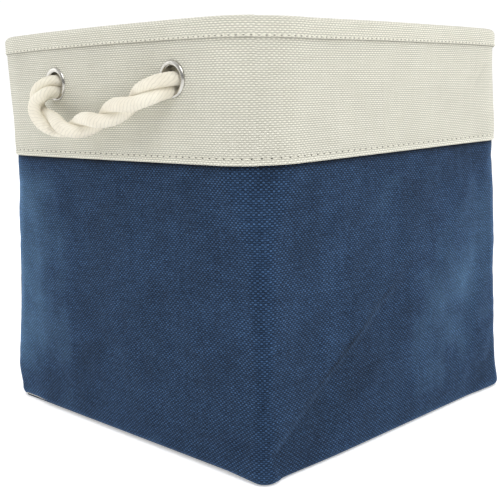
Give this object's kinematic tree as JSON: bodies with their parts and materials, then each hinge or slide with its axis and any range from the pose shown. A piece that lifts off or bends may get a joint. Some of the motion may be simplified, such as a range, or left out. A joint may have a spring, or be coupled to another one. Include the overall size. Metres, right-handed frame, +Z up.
{
  "type": "fabric storage bin",
  "caption": "Square open fabric storage bin with a wired rim, a contrasting upper band, a rope handle through eyelets on the front and back, and a loose stiff base board.",
  "frame": {"origin": "centre of the bin's footprint on the surface it stands on", "axes": "+Z up, -Y out of the front wall that carries the first rope handle, +X to the right when looking at the front"},
  "size_m": [0.287, 0.3244, 0.28],
  "materials": {
    "navy_cloth": "coarse linen-look plain weave, matt, navy with lighter slubs",
    "cream_cloth": "coarse plain-weave canvas, matt, cream, with topstitched hems",
    "lining_cloth": "plain light lining cloth, matt",
    "cotton_rope": "soft two-strand twisted natural cotton, matt, slightly frayed",
    "eyelet_nickel": "polished nickel plate",
    "rim_steel": "plain spring-steel wire",
    "card_board": "grey-brown bookbinding board"
  },
  "bodies": {
    "lower_bin": {"base_panel": "navy_cloth", "front_wall_panel": "navy_cloth", "right_wall_panel": "navy_cloth", "back_wall_panel": "navy_cloth", "left_wall_panel": "navy_cloth", "base_lining": "lining_cloth", "wall_lining": "lining_cloth"},
    "rim": {"upper_band": "cream_cloth", "inner_facing": "cream_cloth", "rim_binding": "cream_cloth", "rim_wire": "rim_steel", "rim_wire_sleeve": "rim_steel", "front_left_eyelet": "eyelet_nickel", "front_right_eyelet": "eyelet_nickel", "back_left_eyelet": "eyelet_nickel", "back_right_eyelet": "eyelet_nickel", "front_left_eyelet_washer": "eyelet_nickel", "front_right_eyelet_washer": "eyelet_nickel", "back_left_eyelet_washer": "eyelet_nickel", "back_right_eyelet_washer": "eyelet_nickel", "front_left_rope_knot": "cotton_rope", "front_right_rope_knot": "cotton_rope", "back_left_rope_knot": "cotton_rope", "back_right_rope_knot": "cotton_rope"},
    "front_rope": {"front_handle": "cotton_rope"},
    "back_rope": {"back_handle": "cotton_rope"},
    "base_board": {"base_board_core": "card_board", "base_board_cover": "lining_cloth"}
  },
  "joints": [
    {"name": "rim_collapse", "type": "slide", "parent": "lower_bin", "child": "rim", "axis": [0, 0, -1], "range_m": [0, 0.155], "deforming": ["front_wall_panel", "right_wall_panel", "back_wall_panel", "left_wall_panel", "wall_lining"]},
    {"name": "front_handle_swing", "type": "hinge", "parent": "rim", "child": "front_rope", "pos_m": [0, -0.151, 0.245], "axis": [-1, 0, 0], "range_deg": [0, 160]},
    {"name": "back_handle_swing", "type": "hinge", "parent": "rim", "child": "back_rope", "pos_m": [0, 0.151, 0.245], "axis": [1, 0, 0], "range_deg": [0, 160]},
    {"name": "base_board_lift", "type": "slide", "parent": "lower_bin", "child": "base_board", "axis": [0, 0, 1], "range_m": [0, 0.21]}
  ]
}
